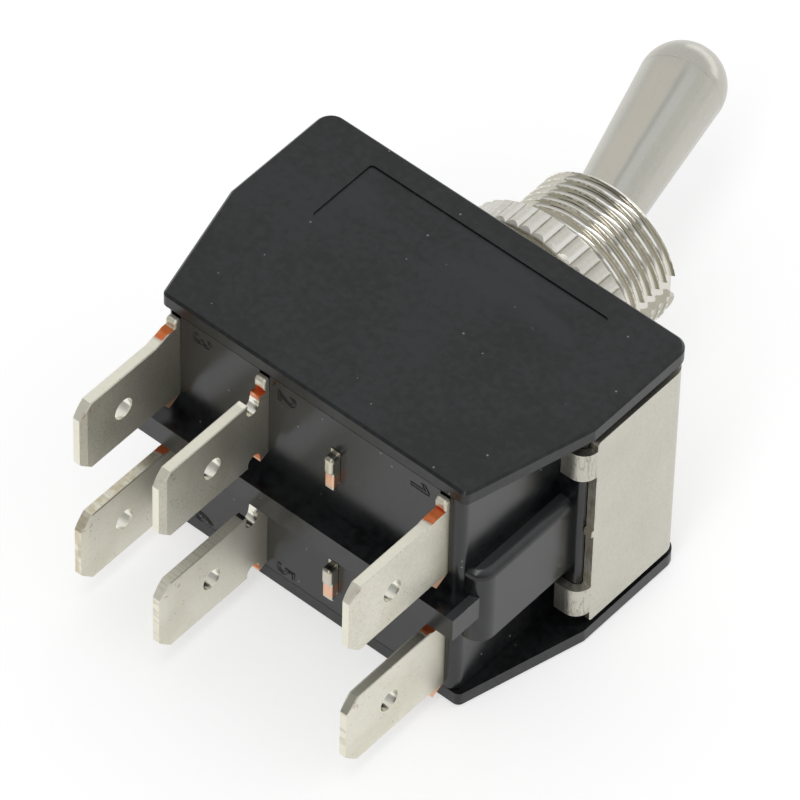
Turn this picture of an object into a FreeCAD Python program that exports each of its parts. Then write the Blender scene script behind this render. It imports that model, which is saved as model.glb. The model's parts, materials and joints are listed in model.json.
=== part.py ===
import FreeCAD, Part
import math
import os

# Panel toggle switch, two poles, lever on +Y, blades on -Y, front cheek with its recess on +Z.
# The origin is on the bushing axis, on the outer face of the ring nut. All sizes in mm.

V = FreeCAD.Vector
ORIGIN = V(0, 0, 0)
X_DIR = V(1, 0, 0)
Y_DIR = V(0, 1, 0)
Z_DIR = V(0, 0, 1)
over = 1.0            # extra length of a cutter beyond the face it opens
bond = 0.1            # overlap of two fused bodies
gap = 0.05            # clearance between faces that lie against each other

# case
base_y = -24.35
shoulder_y = -14.66
case_top_y = -4.93
base_half = 12.9
case_half = 15.5
front_z = 10.72
back_z = -10.72
front_plate = 1.1
back_plate = 1.25
corner_radius = 1.2
shoulder_radius = 0.5
rim_break = 0.18
recess_half = 10.15
recess_low = -12.85
recess_high = -6.85
recess_depth = 0.12
recess_corner = 0.3
collar_corner = 0.6
collar_ceiling = -8.4
ball_seat_r = 7.4
ball_seat_y = -7.15
pin_slot_half = (4.6, 3.2)

# steel frame around the lever side
frame_t = 0.65
frame_top_y = -5.15
frame_half_z = 8.9
leg_end_y = -14.25
leg_corner = 0.3
frame_bend = 1.2
frame_hole_r = 6.05
hook_radius = 1.2
hook_width = 2.5
hook_low_z = (5.65, -7.9)
hook_end_x = 13.45
nib_size = (0.22, 0.3)

# terminal base
core_half = 12.6
core_wall = 1.4
core_corner = 0.8
floor_y = -21.3
core_top_y = -14.15
barrier_z = (-0.95, 0.15)
barrier_top_y = -15.1
ledge_half = 14.8
ledge_low_y = -14.75
ledge_round = 0.45
rib_low = -1.65
rib_high = 0.35
rib_out = 1.75
rib_half = 13.65
bar_low = -4.1
bar_high = 2.6
bar_out = 14.1
bar_near_y = base_y + 0.6
bar_near_round = 1.3
bar_brim_round = 0.7

# bushing and ring nut
thread_r = 5.95
pitch_r = 5.7
bushing_end = 5.9
bushing_chamfer = (0.3, 0.25)
bore_r = 3.9
bore_top_y = 3.2
mouth_r = 4.75
neck_top_y = -3.6
undercut_r = 5.4
collar_r = 7.0
collar_top_y = -4.3
flange_r = 7.2
flange_t = 1.25
spigot_r = 6.0
keyway_z = (-0.9, 1.16)
keyway_depth = 0.65
guide_half = 0.85
guide_reach = 4.75
nut_r = 7.5
nut_t = 2.3
nut_cone = 0.3
tooth_count = 41
tooth_root_r = 7.28

# lever
pivot_y = 0.35
lever_tilt = 15.57
lever_length = 20.5
lever_tip_r = 3.12
lever_root_r = 2.24
lever_root = 3.5
ball_r = 3.8
neck_r = 1.5
neck_end = -12.9
pin_r = 0.75
pin_half = 4.6

# actuator and plungers, measured down from the pivot
actuator_top = 10.0
actuator_end = 14.4
actuator_half = 2.4
actuator_round = 0.8
socket_floor = 10.7
plunger_r = 1.3
plunger_head = 13.2
plunger_shoulder = 15.4
plunger_tip = 17.2
plunger_tip_r = 1.0
spring_pocket = (0.95, 1.2)
spring_wire_r = 0.14
spring_coil_r = 0.72
spring_length = 2.5
spring_turns = 5
spring_foot = 13.45

# poles: middle height of each row of blades
pole_z = {"a": 5.2, "b": -5.9}
blade_w = 6.3
blade_t = 0.8
end_blade_out = 9.6
common_blade_out = 10.5
tip_corner = 1.0
tip_bevel = (0.13, 0.65)
edge_break = 0.07
hole_out = 5.5
hole_r = 0.825
notch_r = 0.6
blade_x = {"1": 11.25, "2": -4.05, "3": -11.7}
tie_rise = {"1a": 0.05, "3a": 0.38, "1b": -0.1, "3b": -0.1}
lug_out = 0.5
lug_top = 4.1
lug_round = 0.2
stub_x = 2.09
stub_round = 0.3
stem_half = 2.9
stub_half = 1.5
slot_play = 0.03
arm_t = 0.8

# rocker
rocker_y = -17.6
rocker_tilt = 8.0
rocker_reach = 10.0
rocker_half_w = 2.3
rocker_t = 0.8
rocker_hump = 1.75
trunnion_r = 0.52
trunnion_half = 3.2
contact_x = 9.0
contact_shank_r = 0.6


def box(x0, x1, y0, y1, z0, z1):
    return Part.makeBox(x1 - x0, y1 - y0, z1 - z0, V(x0, y0, z0))


def prism_z(points, z0, z1):
    outline = [V(x, y, z0) for x, y in points]
    face = Part.Face(Part.makePolygon(outline + outline[:1]))
    return face.extrude(V(0, 0, z1 - z0))


def prism_x(points, x0, x1):
    outline = [V(x0, y, z) for y, z in points]
    face = Part.Face(Part.makePolygon(outline + outline[:1]))
    return face.extrude(V(x1 - x0, 0, 0))


def prism_y(points, y0, y1):
    outline = [V(x, y0, z) for x, z in points]
    face = Part.Face(Part.makePolygon(outline + outline[:1]))
    return face.extrude(V(0, y1 - y0, 0))


def turned(points):
    outline = [V(r, y, 0) for r, y in points]
    face = Part.Face(Part.makePolygon(outline + outline[:1]))
    return face.revolve(ORIGIN, Y_DIR, 360)


def edges_along(shape, direction, test):
    found = []
    for edge in shape.Edges:
        if edge.Curve.TypeId != "Part::GeomLine":
            continue
        start, end = [v.Point for v in edge.Vertexes]
        run = (end - start).normalize()
        if abs(run.dot(direction)) > 0.999 and test((start + end) * 0.5):
            found.append(edge)
    return found


def mirrored_x(shape):
    return shape.mirror(ORIGIN, X_DIR)


def with_lever(shape):
    moved = shape.copy()
    moved.rotate(V(0, pivot_y, 0), Z_DIR, lever_tilt)
    return moved


def with_rocker(shape):
    moved = shape.copy()
    moved.rotate(V(0, rocker_y, 0), Z_DIR, -rocker_tilt)
    return moved


def case_outline():
    return [(-base_half, base_y), (base_half, base_y), (case_half, shoulder_y), (case_half, case_top_y),
            (-case_half, case_top_y), (-case_half, shoulder_y)]


def case_plate(z0, z1, outer_z):
    # six-sided cheek, rounded at the lever side and slightly broken along its outer rim
    plate = prism_z(case_outline(), z0, z1)
    lever_corners = edges_along(plate, Z_DIR, lambda p: p.y > shoulder_y + over)
    plate = plate.makeFillet(corner_radius, lever_corners)
    other_corners = edges_along(plate, Z_DIR, lambda p: p.y < shoulder_y + over)
    plate = plate.makeFillet(shoulder_radius, other_corners)
    rim = [e for e in plate.Edges if all(abs(v.Point.z - outer_z) < 0.001 for v in e.Vertexes)]
    return plate.makeChamfer(rim_break, rim)


def case_collar(back_in, front_in):
    # walls and ceiling under the frame, open over the base, with a seat for the bushing's flange
    wall_out = case_half - frame_t - 0.25
    collar = box(-wall_out, wall_out, core_top_y + gap, frame_top_y - frame_t - gap, back_in, front_in)
    rounded = edges_along(collar, Z_DIR, lambda p: p.y > core_top_y + over)
    collar = collar.makeFillet(collar_corner, rounded)
    inside = core_half + 0.4
    collar = collar.cut(box(-inside, inside, core_top_y - over, collar_ceiling, back_in, front_in))
    collar = collar.cut(Part.makeCylinder(ball_seat_r, 2 * over, V(0, ball_seat_y, 0), Y_DIR))
    half_x, half_z = pin_slot_half
    return collar.cut(box(-half_x, half_x, collar_ceiling - over, ball_seat_y + bond, -half_z, half_z))


def case_shell():
    front_in = front_z - front_plate
    back_in = back_z + back_plate
    shell = case_plate(front_in, front_z, front_z).fuse(case_plate(back_z, back_in, back_z))
    shell = shell.fuse(case_collar(back_in, front_in)).removeSplitter()
    recess = box(-recess_half, recess_half, recess_low, recess_high, front_z - recess_depth, front_z + over)
    recess = recess.makeFillet(recess_corner, edges_along(recess, Z_DIR, lambda p: True))
    return shell.cut(recess)


def slot_for(x, z_mid, half, top):
    play = blade_t / 2 + slot_play
    return box(x - play, x + play, base_y - 2 * over, floor_y + over, z_mid - half, top)


def end_ledge():
    # half-round ledge along the end wall, the frame's hooks close on it
    ledge = box(core_half - over / 2, ledge_half, ledge_low_y, core_top_y, -frame_half_z, frame_half_z)
    outer = edges_along(ledge, Z_DIR, lambda p: p.x > core_half + over and p.y < ledge_low_y + bond)
    return ledge.makeFillet(ledge_round, outer)


def end_bar():
    # thick guard along the end wall, its near end rounded into the barrier rib
    bar = box(core_half - over / 2, bar_out, bar_near_y, core_top_y, bar_low, bar_high)
    near = edges_along(bar, Z_DIR, lambda p: p.x > bar_out - bond and p.y < bar_near_y + bond)
    bar = bar.makeFillet(bar_near_round, near)
    brim = [e for e in bar.Edges if all(abs(v.Point.z - bar_high) < 0.01 for v in e.Vertexes)
            and e.CenterOfMass.x > core_half + 0.3 and e.CenterOfMass.y < core_top_y - bond]
    return bar.makeFillet(bar_brim_round, brim)


def base_slots(inside, front_in):
    # slots for the six blades and two stubs, and a pocket in the end wall for each folded end strip
    slots = []
    for pole, z_mid in pole_z.items():
        top = front_in + over if pole == "a" else z_mid + stem_half + 0.7
        slots += [slot_for(x, z_mid, stem_half + slot_play, top) for x in blade_x.values()]
        slots.append(slot_for(stub_x, z_mid, stub_half + gap, z_mid + stub_half + gap))
        for x in (blade_x["1"], blade_x["3"]):
            reach = abs(x) + blade_t / 2 + gap
            half = stem_half + 0.3
            pocket = box(inside - 2 * bond, reach, floor_y - gap, floor_y + arm_t + bond,
                         z_mid - half, z_mid + half)
            slots.append(pocket if x > 0 else mirrored_x(pocket))
    return slots


def terminal_base():
    front_in = front_z - front_plate - gap
    back_in = back_z + back_plate + gap
    core = box(-core_half, core_half, base_y, core_top_y, back_in, front_in)
    core = core.makeFillet(core_corner, edges_along(core, Z_DIR, lambda p: p.y < base_y + bond))
    inside = core_half - core_wall
    core = core.cut(box(-inside, inside, floor_y, core_top_y + over, back_in - over, front_in + over))
    core = core.fuse(box(-inside - bond, inside + bond, floor_y - bond, barrier_top_y, *barrier_z))
    core = core.fuse(box(-rib_half, rib_half, base_y - rib_out, base_y + bond, rib_low, rib_high))
    rib_end = box(core_half - over, rib_half, base_y - rib_out, bar_near_y + over, rib_low, rib_high)
    for piece in (end_bar(), rib_end, end_ledge()):
        core = core.fuse(piece).fuse(mirrored_x(piece))
    core = core.removeSplitter()
    for slot in base_slots(inside, front_in):
        core = core.cut(slot)
    return core


def hook(z_low):
    centre = V(case_half - hook_radius, leg_end_y, z_low)
    outer = Part.makeCylinder(hook_radius, hook_width, centre, Z_DIR, 90)
    inner = Part.makeCylinder(hook_radius - frame_t, hook_width, centre, Z_DIR, 90)
    curl = outer.cut(inner)
    curl.rotate(centre, Z_DIR, -90)
    lip_y = leg_end_y - hook_radius
    lip = box(hook_end_x, centre.x, lip_y, lip_y + frame_t, z_low, z_low + hook_width)
    return curl.fuse(lip)


def frame_leg_details():
    # two hooks, and the small nib that the shears leave between them
    nib_drop, nib_half = nib_size
    nib = box(case_half - frame_t, case_half, leg_end_y - nib_drop, leg_end_y, -nib_half, nib_half)
    return hook(hook_low_z[0]).fuse(hook(hook_low_z[1])).fuse(nib)


def steel_frame():
    outer = box(-case_half, case_half, leg_end_y, frame_top_y, -frame_half_z, frame_half_z)
    outer = outer.makeFillet(frame_bend, edges_along(outer, Z_DIR, lambda p: p.y > frame_top_y - bond))
    inner_half = case_half - frame_t
    inner_top = frame_top_y - frame_t
    deep = frame_half_z + over
    inner = box(-inner_half, inner_half, leg_end_y - over, inner_top, -deep, deep)
    inner_bends = edges_along(inner, Z_DIR, lambda p: p.y > inner_top - bond)
    inner = inner.makeFillet(frame_bend - frame_t, inner_bends)
    channel = outer.cut(inner)
    corners = edges_along(channel, X_DIR, lambda p: p.y < leg_end_y + bond)
    channel = channel.makeFillet(leg_corner, corners)
    details = frame_leg_details()
    channel = channel.fuse(details).fuse(mirrored_x(details)).removeSplitter()
    return channel.cut(Part.makeCylinder(frame_hole_r, 3 * over, V(0, frame_top_y - 2 * over, 0), Y_DIR))


def bushing():
    # flange below the frame, spigot through it and collar above, then the undercut and the thread;
    # under the ring nut the threads mesh, so that stretch is drawn at the thread's pitch radius
    flange_y = frame_top_y - frame_t
    in_nut = -nut_t - gap
    chamfer_in, chamfer_down = bushing_chamfer
    collar_break = 0.2
    profile = [(bore_r, flange_y - flange_t), (flange_r, flange_y - flange_t), (flange_r, flange_y),
               (spigot_r, flange_y), (spigot_r, frame_top_y), (collar_r, frame_top_y),
               (collar_r, collar_top_y - collar_break), (collar_r - collar_break, collar_top_y),
               (undercut_r, collar_top_y), (undercut_r, neck_top_y), (thread_r, -3.2), (thread_r, in_nut),
               (pitch_r, in_nut), (pitch_r, -nut_cone), (thread_r, 0), (thread_r, bushing_end - chamfer_down),
               (thread_r - chamfer_in, bushing_end), (mouth_r, bushing_end), (bore_r, bore_top_y)]
    body = turned(profile)
    keyway_floor = thread_r - keyway_depth
    keyway = box(keyway_floor, thread_r + over, collar_top_y + bond, bushing_end + over, *keyway_z)
    body = body.cut(keyway)
    # two guides for the ends of the lever's cross pin, closed above at the pivot
    guide = box(-guide_half, guide_half, flange_y - 2 * over, pivot_y, -guide_reach, guide_reach)
    rounded_end = Part.makeCylinder(guide_half, 2 * guide_reach, V(0, pivot_y, -guide_reach), Z_DIR)
    return body.cut(guide).cut(rounded_end)


def toothed_outline():
    # rounded teeth side by side round the nut's edge, each an arc between two sharp roots
    half_step = math.pi / tooth_count

    def at(radius, angle):
        return V(radius * math.cos(angle), -nut_t - over, radius * math.sin(angle))

    arcs = []
    for i in range(tooth_count):
        middle = 2 * i * half_step
        arcs.append(Part.Arc(at(tooth_root_r, middle - half_step), at(nut_r, middle),
                             at(tooth_root_r, middle + half_step)).toShape())
    return Part.Face(Part.Wire(arcs))


def ring_nut():
    edge = 0.25
    bore = pitch_r + 0.03
    ring = turned([(bore, -nut_t), (nut_r - edge, -nut_t), (nut_r + bond, -nut_t + 2 * edge),
                   (nut_r + bond, -edge - bond), (nut_r - edge, 0), (thread_r + 0.03, 0), (bore, -nut_cone)])
    return ring.common(toothed_outline().extrude(V(0, nut_t + 2 * over, 0)))


def lever():
    tip_start = lever_length - 0.4
    neck = turned([(0, neck_end), (neck_r, neck_end), (neck_r, -3.4), (0, -3.4)])
    ball = Part.makeSphere(ball_r, ORIGIN)
    shaft = turned([(0, 2), (lever_root_r - 0.14, 2), (lever_root_r, lever_root),
                    (lever_tip_r - 0.03, tip_start), (0, tip_start)])
    tip = Part.makeSphere(lever_tip_r, V(0, lever_length, 0))
    reach = lever_tip_r + over
    cap = tip.cut(box(-reach, reach, tip_start - 2 * reach, tip_start, -reach, reach))
    body = neck.fuse(ball).fuse(shaft).fuse(cap).removeSplitter()
    body = body.cut(Part.makeCylinder(pin_r, 3 * ball_r, V(0, 0, -1.5 * ball_r), Z_DIR))
    body.translate(V(0, pivot_y, 0))
    return with_lever(body)


def lever_pin():
    pin = Part.makeCylinder(pin_r, 2 * pin_half, V(0, pivot_y, -pin_half), Z_DIR)
    ends = [e for e in pin.Edges if e.Curve.TypeId == "Part::GeomCircle"]
    return with_lever(pin.makeChamfer(0.15, ends))


def down(distance):
    return pivot_y - distance


def actuator():
    # bar across both poles on the lever's neck, with a socket over each pole and a window between them
    low_z = pole_z["b"] - rocker_half_w
    high_z = pole_z["a"] + rocker_half_w
    bar = box(-actuator_half, actuator_half, down(actuator_end), down(actuator_top), low_z, high_z)
    low_edges = edges_along(bar, Z_DIR, lambda p: p.y < down(actuator_end) + bond)
    bar = bar.makeFillet(actuator_round, low_edges)
    window_half = actuator_half + over
    window_top = pivot_y + neck_end - 0.6
    window = box(-window_half, window_half, down(actuator_end) - over, window_top, -3.1, rocker_half_w + bond)
    bar = bar.cut(window)
    bar = bar.cut(Part.makeCylinder(neck_r + 0.02, 5 * over, V(0, pivot_y + neck_end, 0), Y_DIR))
    for z_mid in pole_z.values():
        depth = actuator_end - socket_floor
        bar = bar.cut(Part.makeCylinder(plunger_r + bond, depth, V(0, down(actuator_end), z_mid), Y_DIR))
    return with_lever(bar)


def plunger(z_mid):
    centre = down(plunger_tip - plunger_tip_r)
    head_y = down(plunger_head)
    pin = turned([(0, head_y), (plunger_r, head_y), (plunger_r, down(plunger_shoulder)),
                  (plunger_tip_r, centre), (0, centre)])
    pin = pin.fuse(Part.makeSphere(plunger_tip_r, V(0, centre, 0))).removeSplitter()
    pocket_r, pocket_depth = spring_pocket
    pin = pin.cut(Part.makeCylinder(pocket_r, pocket_depth, V(0, head_y - pocket_depth, 0), Y_DIR))
    pin.translate(V(0, 0, z_mid))
    return with_lever(pin)


def plunger_spring(z_mid):
    # drawn at its pressed length, so that the plunger has its travel under it
    helix = Part.makeHelix(spring_length / spring_turns, spring_length, spring_coil_r)
    corners = []
    for i in range(9):
        angle = math.radians(22.5 + 45 * i)
        corners.append(V(spring_coil_r + spring_wire_r * math.cos(angle), 0, spring_wire_r * math.sin(angle)))
    coil = Part.Wire(helix).makePipeShell([Part.makePolygon(corners)], True, True)
    coil.rotate(ORIGIN, X_DIR, -90)
    coil.translate(V(0, down(spring_foot), z_mid))
    return with_lever(coil)


def blade_outline(out, flare, root_high, root_low):
    # y and z of one blade, from the top of its root round the tip to the foot of its root
    half = blade_w / 2
    tip = -out
    ends = [(-flare, half), (tip + tip_corner, half), (tip, half - tip_corner), (tip, tip_corner - half),
            (tip + tip_corner, -half), (-1.5, -half)]
    return root_high + ends + root_low


def blade_notches(x, z_mid):
    # open slots at both edges of a middle blade, the upper one leaning to the base
    half = blade_w / 2
    lean = 0.35
    upper = [(-2.2, half - 0.6), (-1.0, half - 0.6), (-1.0 + lean, half + over), (-2.2 + lean, half + over)]
    lower = [(-2.0, 0.3 - half), (-0.8, 0.3 - half), (-0.8, -half - over), (-2.0, -half - over)]
    cuts = []
    for corners in (upper, lower):
        mouth = [(base_y + y, z_mid + z) for y, z in corners]
        y_mid = (mouth[0][0] + mouth[1][0]) / 2
        cuts.append(prism_x(mouth, x - over, x + over))
        cuts.append(Part.makeCylinder(notch_r, 2 * over, V(x - over, y_mid, mouth[0][1]), X_DIR))
    return cuts


def blade(x, z_mid, out, outline):
    # flat blade with bevelled tip, broken edges and its round hole
    points = [(base_y + y, z_mid + z) for y, z in outline]
    body = prism_x(points, x - blade_t / 2, x + blade_t / 2)
    tip_y = base_y - out
    free = [e for e in body.Edges if abs(abs(e.CenterOfMass.x - x) - blade_t / 2) < 0.01
            and e.CenterOfMass.y < base_y - 1.6]
    body = body.makeChamfer(edge_break, free)
    depth, length = tip_bevel
    reach = blade_w
    for side in (1, -1):
        flat = x + side * (blade_t / 2 - depth)
        corners = [(flat, tip_y - bond), (flat, tip_y), (x + side * blade_t / 2, tip_y + length),
                   (x + side * over, tip_y + length), (x + side * over, tip_y - bond)]
        body = body.cut(prism_z(corners, z_mid - reach, z_mid + reach))
    return body.cut(Part.makeCylinder(hole_r, 2 * over, V(x - over, base_y - hole_out, z_mid), X_DIR))


def stem(x, z_mid, half):
    return box(x - blade_t / 2, x + blade_t / 2, base_y - gap, floor_y, z_mid - half, z_mid + half)


def staked_lug(x, z_mid):
    # end of the folded strip, pressed over the rim of its slot above the blade
    low = stem_half
    points = [(0, low), (-0.2, low), (-lug_out, low + 0.5), (-lug_out, lug_top - 0.2), (-0.3, lug_top),
              (0, lug_top)]
    lug = prism_x([(base_y + y, z_mid + z) for y, z in points], x - 0.5, x + blade_t / 2)
    corners = [e for e in lug.Edges
               if e.CenterOfMass.z > z_mid + low + 0.6 and e.CenterOfMass.y < base_y - gap]
    return lug.makeFillet(lug_round, corners)


def end_terminal(number, pole):
    x = blade_x[number]
    z_mid = pole_z[pole]
    side = math.copysign(1, x)
    half = blade_w / 2
    rise = tie_rise[number + pole]
    root_high = [(0, half + rise), (-1.2, half + rise)]
    root_low = [(-1.1, -half - 0.6), (0, -half)]
    flare = 1.5 + 2.4 * max(rise, 0)
    outline = blade_outline(end_blade_out, flare, root_high, root_low)
    arm_out = abs(x) + blade_t / 2
    arm_half = stem_half
    arm = box(contact_x - 1.7, arm_out, floor_y, floor_y + arm_t, z_mid - arm_half, z_mid + arm_half)
    bend = edges_along(arm, Z_DIR, lambda p: p.x > arm_out - bond and p.y > floor_y + bond)
    arm = arm.makeFillet(0.6, bend)
    inward = edges_along(arm, Y_DIR, lambda p: p.x < contact_x)
    arm = arm.makeFillet(corner_radius, inward)
    if side < 0:
        arm = mirrored_x(arm)
    body = blade(x, z_mid, end_blade_out, outline).fuse(stem(x, z_mid, stem_half)).fuse(arm)
    body = body.fuse(staked_lug(x, z_mid))
    seat = Part.makeCylinder(0.7, 3 * over, V(side * (contact_x + bond), floor_y - over, z_mid), Y_DIR)
    return body.cut(seat).removeSplitter()


def fixed_contact(side, z_mid):
    x = side * (contact_x + bond)
    seat_y = floor_y + arm_t
    head = turned([(0, floor_y), (0.7, floor_y), (0.7, seat_y), (1.6, seat_y), (1.6, seat_y + 0.4),
                   (1.45, seat_y + 0.52), (0, seat_y + 0.52)])
    head.translate(V(x, 0, z_mid))
    return head


def stub(z_mid):
    # short leg beside the middle blade: rounded staked end above, sheared tie below
    out = 0.85
    cut_out = 0.65
    x0 = stub_x - blade_t / 2
    x1 = stub_x + blade_t / 2
    lug = box(x0, x1, base_y - out, base_y, z_mid - 0.25, z_mid + 1.3)
    free = [e for e in lug.Edges if e.CenterOfMass.y < base_y - gap]
    lug = lug.makeFillet(stub_round, free)
    points = [(0, 0), (-cut_out, 0), (-cut_out, -1.65), (-0.45, -1.95), (0, -1.1)]
    tie = prism_x([(base_y + y, z_mid + z) for y, z in points], x0, x1)
    corners = [e for e in tie.Edges if e.CenterOfMass.z < z_mid - 0.5 and abs(e.CenterOfMass.x - stub_x) > 0.1
               and e.CenterOfMass.y < base_y - 0.3]
    return lug.fuse(tie.makeFillet(0.15, corners))


def rocker_arm(z0, z1):
    # upright with an open bearing for the rocker's trunnion
    top_y = rocker_y + contact_shank_r
    arm = prism_z([(-1.9, floor_y), (1.9, floor_y), (1.3, top_y), (-1.3, top_y)], z0, z1)
    bearing = Part.makeCylinder(0.6, z1 - z0 + 2 * bond, V(0, rocker_y, z0 - bond), Z_DIR)
    mouth = box(-0.6, 0.6, rocker_y, rocker_y + over, z0 - bond, z1 + bond)
    return arm.cut(bearing).cut(mouth)


def common_terminal(pole):
    # folded strip: blade at one end, short staked leg at the other, two arms that carry the rocker
    z_mid = pole_z[pole]
    x = blade_x["2"]
    half = blade_w / 2
    left = x - blade_t / 2
    right = stub_x + blade_t / 2
    strip = box(left, right, floor_y, floor_y + arm_t, z_mid - stem_half, z_mid + stem_half)
    strip = strip.makeFillet(0.6, edges_along(strip, Z_DIR, lambda p: p.y > floor_y + bond))
    outline = blade_outline(common_blade_out, 1.5, [(0, half - bond), (-1.0, half - bond)],
                            [(-0.85, -half - 0.25), (0, -half + gap)])
    body = blade(x, z_mid, common_blade_out, outline)
    for notch in blade_notches(x, z_mid):
        body = body.cut(notch)
    body = body.fuse(stem(x, z_mid, stem_half)).fuse(strip).fuse(stem(stub_x, z_mid, stub_half))
    body = body.fuse(staked_lug(x, z_mid)).fuse(stub(z_mid))
    for side in (1, -1):
        low, high = sorted((z_mid + side * 2.5, z_mid + side * 3.1))
        body = body.fuse(rocker_arm(low, high))
    return body.removeSplitter()


def strip_edge(z_low, drop):
    # one long edge of the sprung strip: flat ends, raised shoulders and an arc under the plunger
    top = [(-rocker_reach, 0.4), (-7.4, 0.4), (-5.7, rocker_hump), (-4.7, rocker_hump)]
    line = [V(u, rocker_y + v - drop, z_low) for u, v in top]
    mirror = [V(-u, rocker_y + v - drop, z_low) for u, v in reversed(top)]
    arc = Part.Arc(line[-1], V(0, rocker_y + 0.4 - drop, z_low), mirror[0]).toShape()
    return Part.makePolygon(line).Edges + [arc] + Part.makePolygon(mirror).Edges, line[0], mirror[-1]


def rocker(z_mid):
    # sprung strip with trunnions that sit in the common terminal's arms
    low = z_mid - rocker_half_w
    upper, upper_left, upper_right = strip_edge(low, 0)
    lower, lower_left, lower_right = strip_edge(low, rocker_t)
    sides = [Part.makeLine(upper_left, lower_left), Part.makeLine(upper_right, lower_right)]
    outline = Part.Wire(Part.__sortEdges__(upper + lower + sides))
    body = Part.Face(outline).extrude(V(0, 0, 2 * rocker_half_w))
    axle = Part.makeCylinder(trunnion_r, 2 * trunnion_half, V(0, rocker_y, z_mid - trunnion_half), Z_DIR)
    body = body.fuse(axle)
    for side in (1, -1):
        seat = V(side * contact_x, rocker_y - over, z_mid)
        body = body.cut(Part.makeCylinder(contact_shank_r, 2 * over, seat, Y_DIR))
    return with_rocker(body.removeSplitter())


def moving_contact(side, z_mid):
    dome_r = 4.0
    rim = 1.4
    face = -1.0
    sag = dome_r - math.sqrt(dome_r ** 2 - rim ** 2)
    shank = Part.makeCylinder(contact_shank_r, rocker_t, V(0, -rocker_t / 2, 0), Y_DIR)
    disc = Part.makeCylinder(rim, -face - rocker_t / 2 - sag, V(0, face + sag, 0), Y_DIR)
    dome = Part.makeSphere(dome_r, V(0, dome_r + face, 0))
    dome = dome.common(Part.makeCylinder(rim, sag + 0.5, V(0, face - 0.5, 0), Y_DIR))
    body = shank.fuse(disc).fuse(dome).removeSplitter()
    body.translate(V(side * contact_x, rocker_y, z_mid))
    return with_rocker(body)


def all_nodes():
    nodes = {
        "case_shell": case_shell(),
        "terminal_base": terminal_base(),
        "steel_frame": steel_frame(),
        "bushing": bushing(),
        "ring_nut": ring_nut(),
        "lever": lever(),
        "lever_pin": lever_pin(),
        "actuator": actuator(),
    }
    numbers = {"a": ("1", "2", "3"), "b": ("4", "5", "6")}
    for pole, z_mid in pole_z.items():
        right, middle, left = numbers[pole]
        nodes["plunger_" + pole] = plunger(z_mid)
        nodes["plunger_spring_" + pole] = plunger_spring(z_mid)
        nodes["rocker_" + pole] = rocker(z_mid)
        nodes["end_terminal_" + right] = end_terminal("1", pole)
        nodes["common_terminal_" + middle] = common_terminal(pole)
        nodes["end_terminal_" + left] = end_terminal("3", pole)
        nodes["fixed_contact_" + right] = fixed_contact(1, z_mid)
        nodes["fixed_contact_" + left] = fixed_contact(-1, z_mid)
        nodes["moving_contact_" + right] = moving_contact(1, z_mid)
        nodes["moving_contact_" + left] = moving_contact(-1, z_mid)
    return nodes


os.makedirs("parts", exist_ok=True)
for name, shape in all_nodes().items():
    print(name, len(shape.Solids), "solid", round(shape.Volume, 2), "mm3", shape.isValid())
    shape.exportStep("parts/" + name + ".step")
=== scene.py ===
import bmesh
import bpy
import json
import math
from mathutils import Matrix, Vector


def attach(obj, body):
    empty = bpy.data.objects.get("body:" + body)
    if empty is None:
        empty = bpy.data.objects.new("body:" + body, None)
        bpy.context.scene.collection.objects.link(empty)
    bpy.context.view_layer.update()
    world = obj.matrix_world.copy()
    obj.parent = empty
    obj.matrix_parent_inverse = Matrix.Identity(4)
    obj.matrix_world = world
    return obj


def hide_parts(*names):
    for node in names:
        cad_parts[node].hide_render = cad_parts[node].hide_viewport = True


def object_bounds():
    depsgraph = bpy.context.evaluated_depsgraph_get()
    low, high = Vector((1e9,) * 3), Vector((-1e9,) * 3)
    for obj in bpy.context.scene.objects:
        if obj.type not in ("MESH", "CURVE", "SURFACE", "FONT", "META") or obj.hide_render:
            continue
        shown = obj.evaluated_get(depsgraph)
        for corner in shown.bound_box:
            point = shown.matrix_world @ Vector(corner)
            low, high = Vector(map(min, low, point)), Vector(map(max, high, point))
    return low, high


# Panel toggle switch: lever on +Y, blades on -Y, recess face up.
# Sizes in the settings are millimetres, and mm turns them into the scene's metres.

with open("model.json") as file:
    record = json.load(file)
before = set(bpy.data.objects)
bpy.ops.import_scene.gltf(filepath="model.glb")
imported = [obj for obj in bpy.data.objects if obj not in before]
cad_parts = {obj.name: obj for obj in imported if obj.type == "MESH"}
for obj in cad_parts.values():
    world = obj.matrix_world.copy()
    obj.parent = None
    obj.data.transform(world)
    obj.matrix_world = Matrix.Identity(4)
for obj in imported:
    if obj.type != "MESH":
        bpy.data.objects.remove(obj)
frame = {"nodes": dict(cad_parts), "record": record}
nodes = frame["nodes"]
cadBounds = [list(corner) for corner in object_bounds()]
mm = 0.001
tiny = 0.001 * mm
baseFace = -24.35  # where the blades leave the terminal base
leverPivot = 0.35  # height of the lever's cross pin on the bushing's axis
print("frame loaded,", len(nodes), "nodes")


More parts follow.
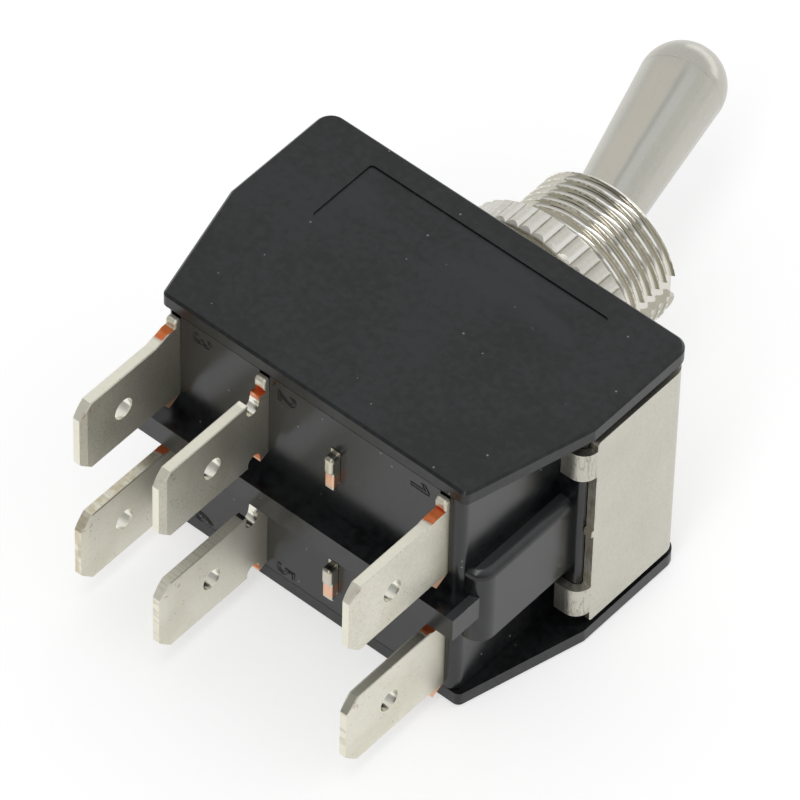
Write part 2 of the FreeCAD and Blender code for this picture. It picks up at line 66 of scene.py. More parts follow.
class Value:
    # a socket of the material that is being built, so that masks read as plain sums
    def __init__(self, finish, socket):
        self.finish = finish
        self.socket = socket

    def apply(self, operation, *others):
        return self.finish.node("ShaderNodeMath", {"operation": operation}, self, *others)

    def __add__(self, other):
        return self.apply("ADD", other)

    def __sub__(self, other):
        return self.apply("SUBTRACT", other)

    def __rsub__(self, other):
        return self.finish.node("ShaderNodeMath", {"operation": "SUBTRACT"}, other, self)

    def __mul__(self, other):
        return self.apply("MULTIPLY", other)

    def __truediv__(self, other):
        return self.apply("DIVIDE", other)

    def __gt__(self, other):
        return self.apply("GREATER_THAN", other)

    def __lt__(self, other):
        return self.apply("LESS_THAN", other)

    __radd__ = __add__
    __rmul__ = __mul__

    def size(self):
        return self.apply("ABSOLUTE")

    def angleFrom(self, other):
        # degrees, from the direction of other towards this one
        return self.apply("ARCTAN2", other) * (180 / math.pi)

    def ramp(self, low, high):
        # 0 below low, 1 above high, smooth between
        return self.finish.node("ShaderNodeMapRange", {"interpolation_type": "SMOOTHSTEP"}, self, low, high)

    def within(self, low, high, soft):
        # 1 between low and high, fading to 0 over soft on either side
        return self.ramp(low - soft, low + soft) * (1 - self.ramp(high - soft, high + soft))


class Finish:
    # one procedural material around a Principled shader, read in Object coordinates in millimetres
    def __init__(self, name, **fixed):
        self.material = bpy.data.materials.new(name)
        self.material.use_nodes = True
        self.tree = self.material.node_tree
        self.shader = self.tree.nodes["Principled BSDF"]
        for socket, value in fixed.items():
            self.shader.inputs[socket.replace("_", " ")].default_value = value
        self.place = self.node("ShaderNodeTexCoord", None, out="Object")
        self.facing = self.node("ShaderNodeTexCoord", None, out="Normal")
        self.x, self.y, self.z = [self.axis(self.place, letter) / mm for letter in "XYZ"]

    def node(self, kind, settings=None, *values, out=0, **named):
        node = self.tree.nodes.new(kind)
        for key, value in (settings or {}).items():
            setattr(node, key, value)
        for index, value in enumerate(values):
            self.feed(node.inputs[index], value)
        for key, value in named.items():
            self.feed(node.inputs[key.replace("_", " ")], value)
        return Value(self, node.outputs[out])

    def feed(self, socket, value):
        if isinstance(value, Value):
            self.tree.links.new(value.socket, socket)
        elif value is not None:
            socket.default_value = value

    def set(self, socket, value):
        self.feed(self.shader.inputs[socket], value)

    def axis(self, vector, letter):
        return self.node("ShaderNodeSeparateXYZ", None, vector, out=letter)

    def faces(self, letter):
        # how much the surface faces along an axis, from -1 to 1
        return self.axis(self.facing, letter)

    def noise(self, scale, detail=2.0, stretch=None):
        # scale counts the clouds in a metre
        place = self.place
        if stretch:
            place = self.node("ShaderNodeMapping", None, place, Scale=stretch)
        return self.node("ShaderNodeTexNoise", None, place, Scale=scale, Detail=detail)

    def specks(self, scale, radius):
        # sparse round dots, radius as a part of the cell
        cells = self.node("ShaderNodeTexVoronoi", {"feature": "F1"}, self.place, Scale=scale)
        return 1 - cells.ramp(radius * 0.6, radius)

    def mix(self, mask, first, second):
        # the node's sockets for colours come after five that are for numbers and vectors
        skipped = [None] * 5
        return self.node("ShaderNodeMix", {"data_type": "RGBA"}, mask, *skipped, first, second, out=2)

    def paint(self, mask, colour):
        # colour over what is there so far, as strong as the mask
        self.tone = self.mix(mask, self.tone, colour)

    def done(self):
        self.set("Base Color", self.tone)
        self.set("Roughness", self.rough)
        bumped = self.node("ShaderNodeBump", None, Strength=1.0, Distance=self.depth, Height=self.height)
        self.set("Normal", bumped)
        return self.material


def shade(level, warm=0.0):
    return (level * (1 + warm), level, level * (1 - 1.6 * warm), 1)


def blackMoulding(name, lustre):
    # nearly black thermoset, cloudy and mottled, with a few specks of dust
    settings = {"dark": (0.0020, 0.0023, 0.0028, 1), "light": (0.0100, 0.0108, 0.0120, 1),
                "dust": (0.4, 0.39, 0.36, 1)}
    finish = Finish(name, Specular_IOR_Level=lustre)
    finish.cloud = finish.noise(140.0, 3.0)
    mottle = (finish.cloud + finish.noise(1900.0, 2.0)) * 0.5
    finish.tone = finish.mix(mottle.ramp(0.38, 0.62), settings["dark"], settings["light"])
    finish.paint(finish.specks(620.0, 0.06) * 0.4, settings["dust"])
    return finish


def caseMoulding():
    # handling marks lie in the shallow recess of the front
    settings = {"rough": 0.3, "grain": 0.003 * mm, "smear": (0.0125, 0.0155, 0.018, 1),
                "recessX": (-10, 10), "recessY": (-12.6, -7.0), "recessZ": 10.4, "soft": 0.3}
    finish = blackMoulding("caseMoulding", 0.42)
    soft = settings["soft"]
    recess = finish.x.within(*settings["recessX"], soft) * finish.y.within(*settings["recessY"], soft)
    recess = recess * (finish.z > settings["recessZ"])
    smears = recess * finish.noise(260.0, 4.0, (0.5, 1.3, 1.0)).ramp(0.42, 0.62)
    finish.paint(smears * 0.8, settings["smear"])
    finish.rough = settings["rough"] - smears * 0.12 + finish.cloud * 0.08
    finish.height = finish.noise(9000.0, 1.0) + finish.noise(1500.0, 2.0) * 0.5
    finish.depth = settings["grain"]
    return finish.done()


def baseMoulding():
    # glossier than the case; the upper side of the end bars is painted lighter, partly dust and partly
    # painted light from above
    settings = {"rough": 0.15, "grain": 0.0028 * mm, "dustAndTopLight": (0.040, 0.044, 0.046, 1),
                "bars": 13.0, "lowest": -2}
    finish = blackMoulding("baseMoulding", 0.5)
    bars = (finish.x.size() > settings["bars"]) * (finish.z > settings["lowest"])
    # upward faces of the end bars painted lighter: dust, and painted light from above
    finish.paint(bars * finish.faces("Z").ramp(0.5, 0.95) * 0.8, settings["dustAndTopLight"])
    streaks = finish.noise(900.0, 2.0, (1.0, 1.0, 0.08))
    finish.rough = settings["rough"] + finish.cloud * 0.1 + streaks * 0.06
    finish.height = finish.noise(7000.0, 1.0) + finish.noise(1100.0, 2.0) * 0.6
    finish.depth = settings["grain"]
    return finish.done()


def metal(name, settings):
    # slightly uneven lustre, with a fine grain of the scale and depth that the settings give
    finish = Finish(name, Metallic=1.0)
    cloud = finish.noise(240.0, 3.0)
    fine = finish.noise(settings["grain"], 3.0)
    uneven = cloud * 0.5 + fine * 0.5
    mottle = settings["mottle"]
    dark = tuple(part * (1 - mottle) for part in settings["colour"]) + (1,)
    light = tuple(min(part * (1 + mottle), 1.0) for part in settings["colour"]) + (1,)
    finish.tone = finish.mix(uneven.ramp(0.3, 0.7), dark, light)
    finish.rough = cloud * 0.08 + (settings["rough"] - 0.04)
    finish.height = fine
    finish.depth = settings["depth"]
    return finish


def plainMetal(name, colour, rough):
    settings = {"colour": colour, "rough": rough, "mottle": 0.06, "grain": 4000.0, "depth": 0.003 * mm}
    return metal(name, settings).done()


def frameNickel():
    # satin plate that has cracked across the tight bends of the hooks, brown in the sheared edges
    settings = {"colour": (0.555, 0.536, 0.468), "rough": 0.4, "mottle": 0.07, "grain": 5200.0,
                "depth": 0.0035 * mm, "stain": (0.34, 0.27, 0.17, 1), "crack": (0.16, 0.15, 0.12, 1),
                "scratch": (0.3, 0.28, 0.24, 1), "hookTop": -14.2, "bend": (13.7, 14.2), "outside": 15.4}
    finish = metal("frameNickel", settings)
    hookTop = settings["hookTop"]
    bend = (finish.y < hookTop) * finish.x.size().ramp(*settings["bend"])
    lines = finish.noise(2600.0, 2.0, (1.0, 1.0, 0.16))
    crack = bend * lines.within(0.47, 0.5, 0.025)
    edges = (finish.faces("Y") < -0.8) * finish.y.within(hookTop - 0.4, hookTop, 0.05)
    stain = edges * finish.noise(800.0, 3.0).ramp(0.35, 0.6)
    finish.paint(stain * 0.55, settings["stain"])
    finish.paint(crack * 0.6, settings["crack"])
    # one slanting scratch by the lower hook, on the outside of the leg
    slant = (finish.y + finish.z * 0.55 + 17.1).within(-0.05, 0.05, 0.04)
    scratch = (finish.x > settings["outside"]) * slant * finish.z.within(-5.4, -4.6, 0.2)
    finish.paint(scratch * 0.5, settings["scratch"])
    finish.height = finish.height * 0.4 - crack * 2.0 + finish.noise(1600.0, 2.0) * 0.6
    return finish.done()


def leverNickel():
    # polished rod: painted reflections run as stripes of colour along its shank, by angle round it
    settings = {"colour": (0.50, 0.487, 0.435), "rough": 0.28, "mottle": 0.05, "grain": 5600.0,
                "depth": 0.0025 * mm, "tilt": 15.57, "shankEnd": (18.6, 20.6), "pit": (0.25, 0.23, 0.2, 1),
                "reflectionBands": [(84, 118, 6, 0.5, (0.60, 0.545, 0.46, 1)),
                          (76, 82, 3, 0.55, (0.37, 0.37, 0.36, 1)),
                          (62, 74, 3, 0.5, (0.55, 0.56, 0.53, 1)),
                          (36, 52, 6, 0.45, (0.45, 0.45, 0.39, 1))]}
    finish = metal("leverNickel", settings)
    turn = math.radians(settings["tilt"])
    beside = finish.x * math.cos(turn) + (finish.y - leverPivot) * math.sin(turn)
    along = (finish.y - leverPivot) * math.cos(turn) - finish.x * math.sin(turn)
    shank = 1 - along.ramp(*settings["shankEnd"])
    wander = (finish.noise(180.0, 2.0) - 0.5) * 7
    around = finish.z.angleFrom(beside) + wander
    # painted reflections: each stripe is a stretch of angle round the rod, painted in its own colour
    for low, high, soft, strength, colour in settings["reflectionBands"]:
        finish.paint(shank * around.within(low, high, soft) * strength, colour)
    pits = finish.specks(1500.0, 0.09) * finish.noise(300.0, 1.0).ramp(0.5, 0.6)
    finish.paint(pits * 0.4, settings["pit"])
    return finish.done()


def nutNickel():
    # teeth and grooves are told apart by the square of the radius
    settings = {"colour": (0.64, 0.62, 0.56), "rough": 0.34, "mottle": 0.07, "grain": 3800.0,
                "depth": 0.007 * mm, "teeth": (50.0, 52.0), "grooves": (53.1, 53.9), "outer": 7.4,
                "paintedDark": (0.40, 0.385, 0.32, 1), "paintedBright": (0.92, 0.91, 0.87, 1),
                "groove": (0.22, 0.20, 0.15, 1), "spark": (0.95, 0.94, 0.91, 1)}
    finish = metal("nutNickel", settings)
    radial = finish.x * finish.x + finish.z * finish.z
    toothed = radial.ramp(*settings["teeth"])
    # one flank of every tooth is painted darker as painted shade, the other lighter as a painted highlight,
    # each tooth with its own random strength
    perTooth = finish.noise(330.0, 0.0, (1.0, 0.05, 1.0)).ramp(0.35, 0.65)
    slope = (finish.faces("Z") * finish.x - finish.faces("X") * finish.z) / settings["outer"]
    near = finish.x.ramp(-0.5, 4.0)
    paintedDark = (slope + (finish.noise(900.0, 2.0) - 0.5) * 0.3).ramp(0.05, 0.5)
    finish.paint(paintedDark * toothed * (near * 0.45 + 0.08), settings["paintedDark"])
    paintedBright = (0 - slope).ramp(0.1, 0.45) * perTooth
    finish.paint(paintedBright * toothed * 0.6, settings["paintedBright"])
    # painted shade, brownish, in the grooves between the teeth
    groove = toothed * (1 - radial.ramp(*settings["grooves"])) * (1 - near * 0.6)
    groove = groove * (0.35 + perTooth * 0.35 + finish.noise(1400.0, 2.0).ramp(0.4, 0.6) * 0.3)
    finish.paint(groove, settings["groove"])
    # painted glints: sparse light specks on the far side of the teeth, also raised a little in the bump
    spark = finish.specks(1900.0, 0.16) * toothed * (1 - finish.x.ramp(-3.0, 0.0))
    finish.paint(spark * 0.8, settings["spark"])
    finish.height = finish.height + spark * 1.5
    return finish.done()


def bushingNickel():
    # flanks facing -Y are painted browner as painted shade, with a darker painted shadow under each crest;
    # the crests carry a painted highlight and are a little ragged
    settings = {"colour": (0.70, 0.675, 0.61), "rough": 0.09, "mottle": 0.05, "grain": 3000.0,
                "depth": 0.0022 * mm, "thread": (-0.1, 5.85), "crestSquare": (34.4, 35.0),
                "rootSquare": (31.3, 32.0), "boreSquare": 30.0, "flank": (0.34, 0.315, 0.24, 1),
                "steepShade": (0.2, 0.18, 0.13, 1), "crest": (0.90, 0.88, 0.82, 1),
                "paintedBright": (0.98, 0.98, 0.96, 1), "paintedDark": (0.28, 0.28, 0.27, 1)}
    finish = metal("bushingNickel", settings)
    radial = finish.x * finish.x + finish.z * finish.z
    around = finish.z.angleFrom(finish.x)
    threaded = finish.y.within(*settings["thread"], 0.05)
    away = 0 - finish.faces("Y")
    finish.paint(away.ramp(0.4, 0.8) * threaded * 0.45, settings["flank"])
    steepShade = away.ramp(0.79, 0.86) * threaded * (0.6 - around.ramp(85, 105) * 0.45)
    finish.paint(steepShade, settings["steepShade"])
    crest = radial.ramp(*settings["crestSquare"]) * threaded * finish.noise(2600.0, 2.0).ramp(0.42, 0.6)
    finish.paint(crest * 0.85, settings["crest"])
    # painted reflections in the thread roots: some stretches round the axis are painted light, others
    # painted dark
    root = (1 - radial.ramp(*settings["rootSquare"])) * (radial > settings["boreSquare"])
    root = root * threaded * away.within(-0.5, 0.3, 0.1)
    paintedBright = around.within(38, 55, 1.5) + around.within(76, 91, 1.5) + around.within(130, 150, 4) * 0.3
    finish.paint(root * paintedBright * 0.95, settings["paintedBright"])
    paintedDark = around.within(26, 36, 2) + around.within(56, 62, 1.5)
    finish.paint(root * paintedDark * 0.65, settings["paintedDark"])
    finish.rough = finish.rough + crest * 0.15
    finish.height = finish.height + crest
    return finish.done()


def bladePlaces(finish, settings):
    # where a point lies: up from the middle of its own blade, out from the base, and on which piece
    upperRow, lowerRow = settings["rows"]
    between = (upperRow + lowerRow) / 2
    finish.under = finish.z < between
    finish.up = finish.z - ((finish.z > between) * (upperRow - lowerRow) + lowerRow)
    finish.out = baseFace - finish.y
    finish.cut = finish.faces("X").size() < 0.6
    finish.wave = (finish.noise(1800.0, 2.0) - 0.5) * 0.35
    finish.stub = finish.x.within(*settings["stubs"], 0.05)
    finish.inner = finish.x.within(*settings["inner"], 0.1)


def tinPatches(finish):
    # the lower row is painted lighter as painted light, a brown wash and flecks lie over all of them, and
    # the roots are painted darker as a painted dark reflection of the base
    tints = {"lowerRowLight": (0.82, 0.80, 0.70, 1), "wash": (0.58, 0.545, 0.42, 1), "fleck": (0.24, 0.21, 0.15, 1),
             "root": (0.42, 0.38, 0.28, 1), "corner": (0.42, 0.22, 0.17, 1)}
    # painted light: the lower row a little lighter all over
    finish.paint(finish.under * 0.5, tints["lowerRowLight"])
    wash = finish.noise(230.0, 3.0, (0.3, 1.0, 1.0)).ramp(0.5, 0.68)
    finish.paint(wash * 0.3, tints["wash"])
    fleck = finish.specks(2600.0, 0.2) * finish.noise(420.0, 2.0).ramp(0.46, 0.62)
    finish.paint(fleck * 0.5, tints["fleck"])
    # painted dark reflection of the base near the roots
    finish.paint((1 - finish.out.ramp(0.2, 2.6)) * 0.35, tints["root"])
    corner = (finish.out > 8.6) * (finish.up > 2.1) * finish.noise(1300.0, 2.0).ramp(0.56, 0.64)
    finish.paint(corner * 0.5, tints["corner"])


def cutEdges(finish, settings):
    # walls of the holes and notches carry a painted highlight, and the outer edges a slightly weaker one
    tints = {"wall": (0.93, 0.91, 0.82, 1), "rim": (0.88, 0.85, 0.72, 1), "golden": (0.52, 0.43, 0.26, 1),
             "flat": (0.30, 0.29, 0.24, 1), "stubDarkTop": (0.14, 0.135, 0.12, 1)}
    beyond = finish.out - settings["holeOut"]
    hole = finish.cut * (beyond * beyond + finish.up * finish.up < settings["holeSquare"])
    wall = hole + finish.cut * finish.inner * finish.out.within(0.5, 2.4, 0.1)
    finish.rim = finish.cut * (finish.out > 1.9) * (1 - hole)
    finish.paint(wall * 0.7, tints["wall"])
    finish.paint(finish.rim * 0.6, tints["rim"])
    # the lower left blade has golden edges; the lower right one is painted darker on its upward face, a
    # painted dark reflection between the painted highlights of its arrises
    lowerRim = finish.rim * finish.under
    golden = lowerRim * (finish.x < -9) * finish.noise(1500.0, 2.0, (1.0, 1.0, 0.3)).ramp(0.35, 0.65)
    finish.paint(golden * 0.6, tints["golden"])
    middle = (finish.x - settings["right"]).within(-0.28, 0.28, 0.05)
    finish.paint(lowerRim * middle * finish.faces("Z").ramp(0.3, 0.6) * 0.75, tints["flat"])
    # painted shade: the upward faces of the stubs painted dark
    stubDarkTop = finish.stub * finish.faces("Z").ramp(0.2, 0.9) * (finish.up > 0.5)
    finish.paint(stubDarkTop * 0.7, tints["stubDarkTop"])
    finish.rough = finish.rough - finish.rim * 0.08 - wall * 0.28 - finish.stub * 0.2


def bareCopper(finish, settings):
    # the ties broke off at both shoulders of a blade and on the stubs, with a ragged limit
    tints = {"deep": (0.60, 0.17, 0.055, 1), "pale": (0.92, 0.60, 0.42, 1)}
    half = settings["half"]
    up, out, wave, inner, stub = finish.up, finish.out, finish.wave, finish.inner, finish.stub
    # the middle pair is notched beside its ties, and the lower one broke off clean at the top
    shoulder = (up - inner * 0.5 > half - 0.95) * (1 - inner * finish.under)
    tie = (out + wave + inner * 0.75).within(-0.2, 1.75, 0.12)
    tinned = (up + wave > half + 0.3) * (out < 0.6)
    upper = finish.cut * tie * shoulder * (1 - tinned)
    barb = (up < -half - 0.04) * (out + wave).within(-0.2, 1.5, 0.05)
    lower = (up < -half + 0.45) * (out + wave).within(-0.2, 1.9, 0.1) * finish.cut
    lower = lower * (1 - barb) + barb
    stubTie = stub * (up + wave * 0.5 < -0.35) * (up + wave * 0.3 > -1.45)
    broken = (upper + lower) * (1 - stub) + stubTie
    pale = (barb + stub) * 0.7 + finish.noise(2500.0, 2.0) * 0.5 - 0.15
    finish.paint(broken, finish.mix(pale.ramp(0.0, 1.0), tints["deep"], tints["pale"]))
    finish.rough = finish.rough + broken * 0.1


def shearLines(finish):
    # fine lines across the cut edges, stronger on the lower row
    lines = finish.noise(7500.0, 1.0, (0.02, 1.0, 0.12))
    strength = finish.under * 0.25 + 0.04
    finish.paint(finish.rim * lines.within(0.4, 0.46, 0.03) * strength, (0.30, 0.27, 0.19, 1))
    finish.height = finish.height + finish.noise(500.0, 2.0) * 0.5 + finish.rim * lines * strength * 2.5


def bladeTin():
    # tinned strip, bare copper where it was sheared and broken from its ties
    settings = {"colour": (0.69, 0.668, 0.58), "rough": 0.48, "mottle": 0.1, "grain": 5200.0,
                "depth": 0.005 * mm, "rows": (5.2, -5.9), "half": 3.15, "stubs": (1.5, 2.7),
                "inner": (-9.0, 0.0), "right": 11.25, "holeOut": 5.5, "holeSquare": 0.78}
    finish = metal("bladeTin", settings)
    bladePlaces(finish, settings)
    tinPatches(finish)
    cutEdges(finish, settings)
    bareCopper(finish, settings)
    shearLines(finish)
    return finish.done()


def nylon(name, level):
    finish = Finish(name, Specular_IOR_Level=0.4)
    cloud = finish.noise(260.0, 3.0)
    finish.tone = finish.mix(cloud, shade(level * 0.92, 0.03), shade(level, 0.02))
    finish.rough = 0.42 + cloud * 0.1
    finish.height = finish.noise(5000.0, 1.0)
    finish.depth = 0.003 * mm
    return finish.done()


finishes = {
    "case_moulding": caseMoulding(),
    "base_moulding": baseMoulding(),
    "frame_steel": frameNickel(),
    "bushing_plate": bushingNickel(),
    "nut_plate": nutNickel(),
    "lever_plate": leverNickel(),
    "terminal_plate": bladeTin(),
    "copper_strip": plainMetal("rockerCopper", (0.80, 0.45, 0.30), 0.35),
    "contact_silver": plainMetal("contactSilver", (0.85, 0.84, 0.80), 0.3),
    "spring_steel": plainMetal("springSteel", (0.55, 0.55, 0.54), 0.3),
    "actuator_nylon": nylon("actuatorNylon", 0.62),
    "plunger_nylon": nylon("plungerNylon", 0.55),
}
slotOf = {part["node"]: part["material_slot"] for part in frame["record"]["subparts"]}
for name, node in nodes.items():
    for slot in node.material_slots:
        slot.material = finishes[slotOf[name]]
print("finishes done")


def addObject(name, data):
    thing = bpy.data.objects.new(name, data)
    bpy.context.scene.collection.objects.link(thing)
    return thing


def addMesh(name, bm, material):
    mesh = bpy.data.meshes.new(name)
    bm.to_mesh(mesh)
    bm.free()
    mesh.materials.append(material)
    return addObject(name, mesh)


def plainMesh(thing):
    # the mesh that a thing shows, with its modifiers or its bevel made real
    ready = thing.evaluated_get(bpy.context.evaluated_depsgraph_get())
    return bpy.data.meshes.new_from_object(ready)


def smooth(mesh, sharp=None):
    # smooth shading, apart from edges that turn by more than sharp degrees
    mesh.polygons.foreach_set("use_smooth", [True] * len(mesh.polygons))
    if sharp:
        mesh.set_sharp_from_angle(angle=math.radians(sharp))


def threadProfile(settings):
    # radius and height along the thread, from below its start to above its end
    rises = [(part, (1 - 2 * part) ** 2 * settings["fullness"]) for part in settings["flank"]]
    shape = [(0.0, 1.0)] + rises + [(0.5, 0.0)] + [(1 - part, rise) for part, rise in reversed(rises)]
    pitch = settings["pitch"]
    first = math.floor(settings["low"] / pitch) - 2
    last = math.ceil(settings["high"] / pitch) + 2
    chain = []
    for turn in range(first, last):
        for part, rise in shape:
            radius = settings["root"] + (settings["crest"] - settings["root"]) * min(rise, 1.0)
            chain.append((radius, (turn + part) * pitch + settings["phase"]))
    return chain


def threadedTube(settings):
    # one full turn of the profile with a rise of one pitch closes into an endless screw
    bm = bmesh.new()
    ring = [bm.verts.new((radius * mm, y * mm, 0)) for radius, y in threadProfile(settings)]
    for first, second in zip(ring, ring[1:]):
        bm.edges.new((first, second))
    steps = settings["steps"]
    bmesh.ops.spin(bm, geom=bm.verts[:] + bm.edges[:], cent=(0, 0, 0), axis=(0, 1, 0), angle=math.tau,
                   dvec=(0, settings["pitch"] * mm / steps, 0), steps=steps, use_merge=False)
    bmesh.ops.remove_doubles(bm, verts=bm.verts, dist=2 * tiny)
    for level, side in ((settings["low"], -1), (settings["high"], 1)):
        bmesh.ops.bisect_plane(bm, geom=bm.verts[:] + bm.edges[:] + bm.faces[:], dist=0.1 * tiny,
                               plane_co=(0, level * mm, 0), plane_no=(0, side, 0), clear_outer=True)
    return bm


def limitRadius(settings, y):
    # the thread meshes inside the nut, opens in a cone above it and ends in a chamfer
    crest, inNut, cone = settings["crest"], settings["inNut"], settings["cone"]
    chamferStart = settings["high"] - settings["chamfer"]
    if settings["nutFoot"] < y < -cone:
        return inNut
    if -cone <= y < 0:
        return inNut + (y + cone) / cone * (crest - inNut)
    if y > chamferStart:
        return crest - (y - chamferStart) / settings["chamfer"] * settings["chamferDrop"]
    return crest


def setRing(verts, radius, y):
    for vert in verts:
        around = Vector((vert.co.x, 0, vert.co.z)).normalized() * radius * mm
        vert.co = (around.x, y * mm, around.z)


def extendLoop(bm, edges, places):
    # walls that carry on from an open rim, as radius and height pairs
    for radius, y in places:
        grown = bmesh.ops.extrude_edge_only(bm, edges=edges)["geom"]
        setRing([item for item in grown if isinstance(item, bmesh.types.BMVert)], radius, y)
        edges = [item for item in grown if isinstance(item, bmesh.types.BMEdge)]
    return edges


def rimEdges(bm, y):
    freeEdges = [edge for edge in bm.edges if edge.is_boundary]
    return [edge for edge in freeEdges if all(abs(vert.co.y - y * mm) < tiny for vert in edge.verts)]


def cutterBox(name, low, high):
    bm = bmesh.new()
    bmesh.ops.create_cube(bm, size=1.0)
    for vert in bm.verts:
        vert.co = [(top if side > 0 else foot) * mm for foot, top, side in zip(low, high, vert.co)]
    return addMesh(name, bm, finishes["bushing_plate"])


def cutterRound(name, radius, centre, reach):
    bm = bmesh.new()
    bmesh.ops.create_cone(bm, cap_ends=True, segments=48, radius1=radius * mm, radius2=radius * mm,
                          depth=reach * mm)
    bmesh.ops.translate(bm, verts=bm.verts, vec=[part * mm for part in centre])
    return addMesh(name, bm, finishes["bushing_plate"])


def cutAway(piece, cutters):
    # subtract the cutters one after the other and keep the plain result
    for cutter in cutters:
        step = piece.modifiers.new(cutter.name, "BOOLEAN")
        step.operation = "DIFFERENCE"
        step.solver = "EXACT"
        step.object = cutter
    mesh = plainMesh(piece)
    piece.modifiers.clear()
    piece.data = mesh
    for cutter in cutters:
        bpy.data.objects.remove(cutter)


def bushingCutters(settings):
    # the keyway on the +X side, and the slot across the bore for the lever's cross pin
    keyLow, keyHigh = settings["key"]
    guide, reach = settings["guide"], settings["guideReach"]
    clear = 1.0
    keyTop = (settings["crest"] + clear, settings["high"] + clear, keyHigh)
    return [cutterBox("keyway", (settings["keyFloor"], settings["keyFoot"], keyLow), keyTop),
            cutterBox("pinGuide", (-guide, settings["guideFoot"], -reach), (guide, leverPivot, reach)),
            cutterRound("pinGuideEnd", guide, (0, leverPivot, 0), 2 * reach)]


def threadedBushing():
    # mouth and foot are outlines of radius and height that carry on from the thread's two ends
    settings = {"pitch": 0.794, "crest": 5.95, "root": 5.58, "low": -3.2, "high": 5.9, "steps": 120,
                "phase": 0.154, "flank": (0.04, 0.12, 0.2, 0.28, 0.36, 0.43), "fullness": 1.12,
                "inNut": 5.70, "nutFoot": -2.35, "cone": 0.3, "chamfer": 0.25, "chamferDrop": 0.3,
                "mouth": [(4.75, 5.9), (3.9, 3.2), (3.9, -7.05)],
                "foot": [(5.4, -3.6), (5.4, -4.3), (6.8, -4.3), (7.0, -4.5), (7.0, -5.15), (6.0, -5.15),
                         (6.0, -5.8), (7.2, -5.8), (7.2, -7.05)],
                "key": (-0.9, 1.16), "keyFloor": 5.3, "keyFoot": -4.2,
                "guide": 0.85, "guideReach": 4.75, "guideFoot": -7.8, "sharp": 50}
    bm = threadedTube(settings)
    for vert in bm.verts:
        radius = math.hypot(vert.co.x, vert.co.z) / mm
        limit = limitRadius(settings, vert.co.y / mm)
        if radius > limit:
            vert.co.x *= limit / radius
            vert.co.z *= limit / radius
    mouth = extendLoop(bm, rimEdges(bm, settings["high"]), settings["mouth"])
    foot = extendLoop(bm, rimEdges(bm, settings["low"]), settings["foot"])
    bmesh.ops.bridge_loops(bm, edges=mouth + foot)
    bmesh.ops.recalc_face_normals(bm, faces=bm.faces)
    piece = addMesh("threadedBushing", bm, finishes["bushing_plate"])
    cutAway(piece, bushingCutters(settings))
    smooth(piece.data, settings["sharp"])
    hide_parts("bushing")
    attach(piece, "housing")
    return piece


bushingPiece = threadedBushing()
print("threaded bushing done,", len(bushingPiece.data.polygons), "faces")


def darkLine():
    finish = Finish("markLine", Specular_IOR_Level=0.38)
    finish.set("Base Color", finish.mix(finish.noise(3000.0, 1.0), shade(0.001), shade(0.004)))
    finish.set("Roughness", 0.25 + finish.noise(1200.0, 1.0) * 0.15)
    return finish.material


markLine = darkLine()


def numeralCurve(name, text, settings):
    # the one is drawn with the wide flag of the moulding, the others are plain type
    if text == "1":
        curve = bpy.data.curves.new(name, "CURVE")
        line = curve.splines.new("POLY")
        line.points.add(len(settings["one"]) - 1)
        for point, (x, y) in zip(line.points, settings["one"]):
            point.co = (x * mm, y * mm, 0, 1)
        line.use_cyclic_u = True
    else:
        curve = bpy.data.curves.new(name, "FONT")
        curve.body = text
        curve.size = settings["size"] * mm
        curve.align_x = "CENTER"
        curve.align_y = "CENTER"
    curve.fill_mode = "NONE"
    curve.bevel_depth = settings["line"] * mm
    curve.bevel_resolution = 1
    curve.resolution_u = 4
    return curve


def terminalNumeral(text, x, z):
    # outlined numeral, its top towards +X, half sunk in the base face
    settings = {"size": 2.15, "line": 0.05,
                "one": [(-0.13, -0.75), (0.13, -0.75), (0.13, 0.75), (-0.1, 0.75),
                        (-0.62, 0.42), (-0.62, 0.14), (-0.13, 0.42)]}
    name = "numeral" + text
    holder = addObject(name, numeralCurve(name, text, settings))
    mesh = plainMesh(holder)
    bpy.data.objects.remove(holder)
    turn = Matrix(((0, 1, 0), (0, 0, -1), (-1, 0, 0))).to_4x4()
    mesh.transform(Matrix.Translation((x * mm, baseFace * mm, z * mm)) @ turn)
    mesh.materials.clear()
    mesh.materials.append(markLine)
    smooth(mesh)
    piece = addObject(name, mesh)
    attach(piece, "housing")


numeralPlaces = {"1": (9.14, 8.4), "2": (-2.2, 8.35), "3": (-9.5, 8.5),
                 "4": (9.14, -8.9), "5": (-2.1, -8.75), "6": (-9.3, -9.0)}
for text, (x, z) in numeralPlaces.items():
    terminalNumeral(text, x, z)
print("numerals done")


def makeCamera():
    # the photograph's own viewpoint, through a long lens far off
    settings = {"azimuth": 39.5343, "elevation": 49.0597, "roll": 1.6677, "distance": 566.014,
                "aim": (-1.3403, -13.9104, 0.0), "lens": 388.84, "sensor": 36.0, "clip": (0.05, 20.0)}
    camera = bpy.data.cameras.new("camera")
    camera.lens = settings["lens"]
    camera.sensor_width = settings["sensor"]
    camera.clip_start, camera.clip_end = settings["clip"]
    turns = ((settings["azimuth"], "Z"), (90 - settings["elevation"], "X"), (settings["roll"], "Z"))
    view = Matrix.Translation(Vector(settings["aim"]) * mm)
    for degrees, axis in turns:
        view = view @ Matrix.Rotation(math.radians(degrees), 4, axis)
    holder = addObject("camera", camera)
    holder.matrix_world = view @ Matrix.Translation((0, 0, settings["distance"] * mm))
    bpy.context.scene.camera = holder


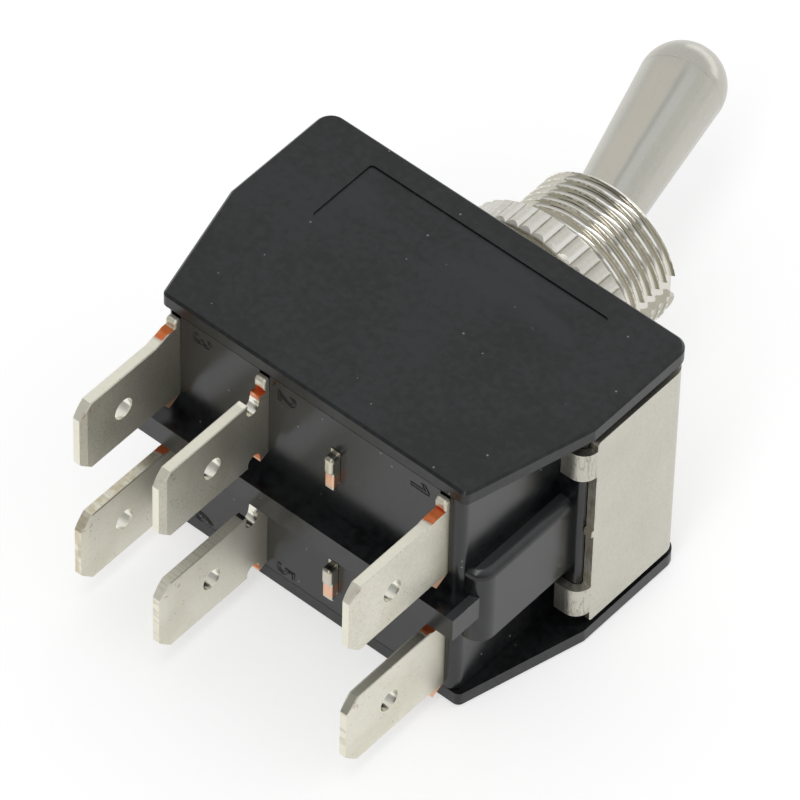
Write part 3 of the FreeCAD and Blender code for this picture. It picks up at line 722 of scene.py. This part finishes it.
def softbox(name, direction, distance, width, height, radiance):
    # lamp sized in metres, with its brightness as radiance, so that a new size keeps its look
    lamp = bpy.data.lights.new(name, "AREA")
    lamp.shape = "RECTANGLE"
    lamp.size = width
    lamp.size_y = height
    lamp.energy = radiance * math.pi * width * height
    holder = addObject(name, lamp)
    holder.location = Vector(direction).normalized() * distance
    holder.rotation_euler = (-holder.location).to_track_quat("-Z", "Y").to_euler()


def makeFloor(level):
    # a wide sheet of paper under the switch, its reach in metres
    settings = {"reach": 3.0, "paper": 0.5, "glow": 0.55}
    bm = bmesh.new()
    bmesh.ops.create_grid(bm, x_segments=1, y_segments=1, size=settings["reach"])
    bmesh.ops.translate(bm, verts=bm.verts, vec=(0, 0, level))
    paper = Finish("floorPaper", Roughness=0.9, Emission_Strength=settings["glow"])
    cloud = paper.noise(3.0, 2.0)
    paper.set("Base Color", paper.mix(cloud, shade(settings["paper"] * 0.99), shade(settings["paper"])))
    floor = addMesh("floor", bm, paper.material)


def makeWorld():
    # a pale studio that is darker on the blades' side
    settings = {"tint": (0.99, 1.0, 1.0, 1),
                "fade": {"From Min": -0.95, "From Max": 0.3, "To Min": 0.38, "To Max": 0.87}}
    world = bpy.data.worlds.new("studio")
    world.use_nodes = True
    tree = world.node_tree
    sky = tree.nodes["Background"]
    sky.inputs["Color"].default_value = settings["tint"]
    direction = tree.nodes.new("ShaderNodeTexCoord")
    split = tree.nodes.new("ShaderNodeSeparateXYZ")
    fade = tree.nodes.new("ShaderNodeMapRange")
    fade.interpolation_type = "SMOOTHSTEP"
    for socket, value in settings["fade"].items():
        fade.inputs[socket].default_value = value
    tree.links.new(direction.outputs["Generated"], split.inputs[0])
    tree.links.new(split.outputs["Y"], fade.inputs["Value"])
    tree.links.new(fade.outputs[0], sky.inputs["Strength"])
    bpy.context.scene.world = world


lamps = {
    "overhead": {"direction": (0.14, -0.56, 0.82), "distance": 0.7, "width": 0.19, "height": 0.9,
                 "radiance": 3.2},
    "far": {"direction": (0.0, 0.97, 0.14), "distance": 0.9, "width": 1.2, "height": 0.3,
            "radiance": 0.7},
}
makeCamera()
makeWorld()
makeFloor(cadBounds[0][2])
for name, lamp in lamps.items():
    softbox(name, **lamp)
bpy.context.scene.view_settings.view_transform = "Standard"
print("studio done")
